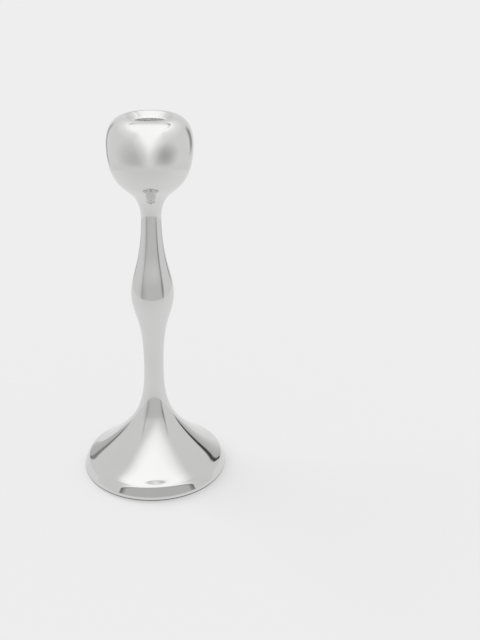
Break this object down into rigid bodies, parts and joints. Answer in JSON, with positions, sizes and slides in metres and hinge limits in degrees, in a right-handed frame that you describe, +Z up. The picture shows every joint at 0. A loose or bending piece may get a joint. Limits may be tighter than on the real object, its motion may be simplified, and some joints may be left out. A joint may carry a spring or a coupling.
{
  "type": "candlestick",
  "caption": "Polished silver candlestick with a round bulb top that takes one dinner candle, a slim waisted stem with a swelling, and a weighted trumpet foot on felt.",
  "frame": {"origin": "centre of the felt pad's underside, on the surface the candlestick stands on", "axes": "+Z up along the candlestick's axis, out of the candle hole"},
  "size_m": [0.094, 0.094, 0.24],
  "materials": {
    "silver_plate": "mirror-polished silver plate",
    "brass": "turned",
    "steel": "plain drawn and rolled steel",
    "zinc_steel": "zinc plated",
    "iron": "as cast",
    "felt": "pressed wool felt"
  },
  "bodies": {
    "root": {"foot_shell": "silver_plate", "lower_stem_shell": "silver_plate", "upper_stem_shell": "silver_plate", "bulb_lower_shell": "silver_plate", "bulb_upper_shell": "silver_plate", "candle_cup": "silver_plate", "cup_boss": "brass", "bulb_joint_band": "brass", "neck_sleeve": "brass", "knop_centring_disc": "brass", "waist_sleeve": "brass", "tie_rod": "steel", "ballast": "iron", "foot_washer": "zinc_steel", "spring_washer": "zinc_steel", "foot_nut": "zinc_steel", "base_plate": "steel", "felt_pad": "felt"}
  },
  "joints": []
}
